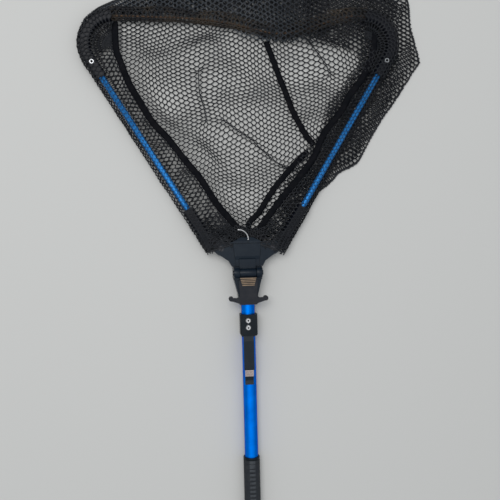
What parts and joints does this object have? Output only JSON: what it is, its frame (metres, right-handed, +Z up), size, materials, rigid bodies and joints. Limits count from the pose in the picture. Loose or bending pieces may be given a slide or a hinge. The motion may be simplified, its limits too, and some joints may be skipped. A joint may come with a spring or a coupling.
{
  "type": "landing net",
  "caption": "Folding triangular landing net: mesh bag on two swinging arms, locking hub with thumb latch, telescopic handle with belt clip and ribbed grip.",
  "frame": {"origin": "on the resting surface, straight below the pin that the head folds about, on the handle's line", "axes": "+Y along the handle towards the head, +Z up from the resting surface, +X to the right arm"},
  "size_m": [0.56, 0.925, 0.0383],
  "materials": {
    "blue_aluminium": "anodised bright blue",
    "plain_aluminium": "satin",
    "hub_plastic": "fine-textured moulded nylon",
    "latch_plastic": "satin moulded nylon",
    "arm_plastic": "fine-textured moulded nylon",
    "collar_plastic": "satin",
    "clip_plastic": "satin",
    "clip_metal": "worn satin",
    "steel": "bright",
    "rivet_steel": "polished",
    "grip_rubber": "matt",
    "netting": "knotless nylon mesh",
    "binding_tape": "woven tape",
    "nylon": "natural"
  },
  "bodies": {
    "handle": {"handle_socket": "hub_plastic", "hinge_pin": "steel", "socket_pin": "steel", "outer_tube": "blue_aluminium", "tube_end_ring": "collar_plastic", "clip_collar": "collar_plastic", "collar_rivets": "rivet_steel", "belt_clip": "clip_plastic", "clip_tip": "clip_metal", "latch_spring": "steel"},
    "latch": {"latch_slider": "latch_plastic"},
    "lock": {"lock_sleeve": "nylon"},
    "grip_section": {"lock_spindle": "steel", "inner_tube": "plain_aluminium", "grip": "grip_rubber", "butt_cap": "grip_rubber"},
    "head": {"hub_base": "hub_plastic", "hub_cover": "hub_plastic", "hinge_tongue": "hub_plastic", "hub_screws": "steel", "arm_pins": "steel", "net_ring": "steel", "net_bag": "netting", "bag_tapes": "binding_tape", "mouth_cord": "netting"},
    "arm_left": {"arm_root_left": "arm_plastic", "arm_tube_left": "blue_aluminium", "elbow_left": "arm_plastic", "elbow_rivet_left": "rivet_steel", "hem_left": "netting", "tape_left": "binding_tape"},
    "arm_right": {"arm_root_right": "arm_plastic", "arm_tube_right": "blue_aluminium", "elbow_right": "arm_plastic", "elbow_rivet_right": "rivet_steel", "hem_right": "netting", "tape_right": "binding_tape"}
  },
  "joints": [
    {"name": "head_fold", "type": "hinge", "parent": "handle", "child": "head", "pos_m": [0, 0, 0.03], "axis": [1, 0, 0], "range_deg": [0, 180]},
    {"name": "arm_left_fold", "type": "hinge", "parent": "head", "child": "arm_left", "pos_m": [-0.042, 0.04, 0.0135], "axis": [0, 0, -1], "range_deg": [0, 27], "deforming": ["net_bag", "bag_tapes", "mouth_cord"]},
    {"name": "arm_right_fold", "type": "hinge", "parent": "head", "child": "arm_right", "pos_m": [0.042, 0.04, 0.0135], "axis": [0, 0, 1], "range_deg": [0, 27]},
    {"name": "latch_slide", "type": "slide", "parent": "handle", "child": "latch", "axis": [0, -1, 0], "range_m": [0, 0.008], "stiffness_N_per_m": 300, "springref_m": -0.004, "deforming": ["latch_spring"]},
    {"name": "handle_extend", "type": "slide", "parent": "handle", "child": "lock", "axis": [0, -1, 0], "range_m": [0, 0.2]},
    {"name": "handle_twist", "type": "hinge", "parent": "lock", "child": "grip_section", "pos_m": [0, -0.047, 0.0135], "axis": [0, 1, 0], "range_deg": [0, 90]}
  ],
  "couplings": [
    {"joint": "arm_right_fold", "follows": "arm_left_fold", "ratio": 1}
  ]
}
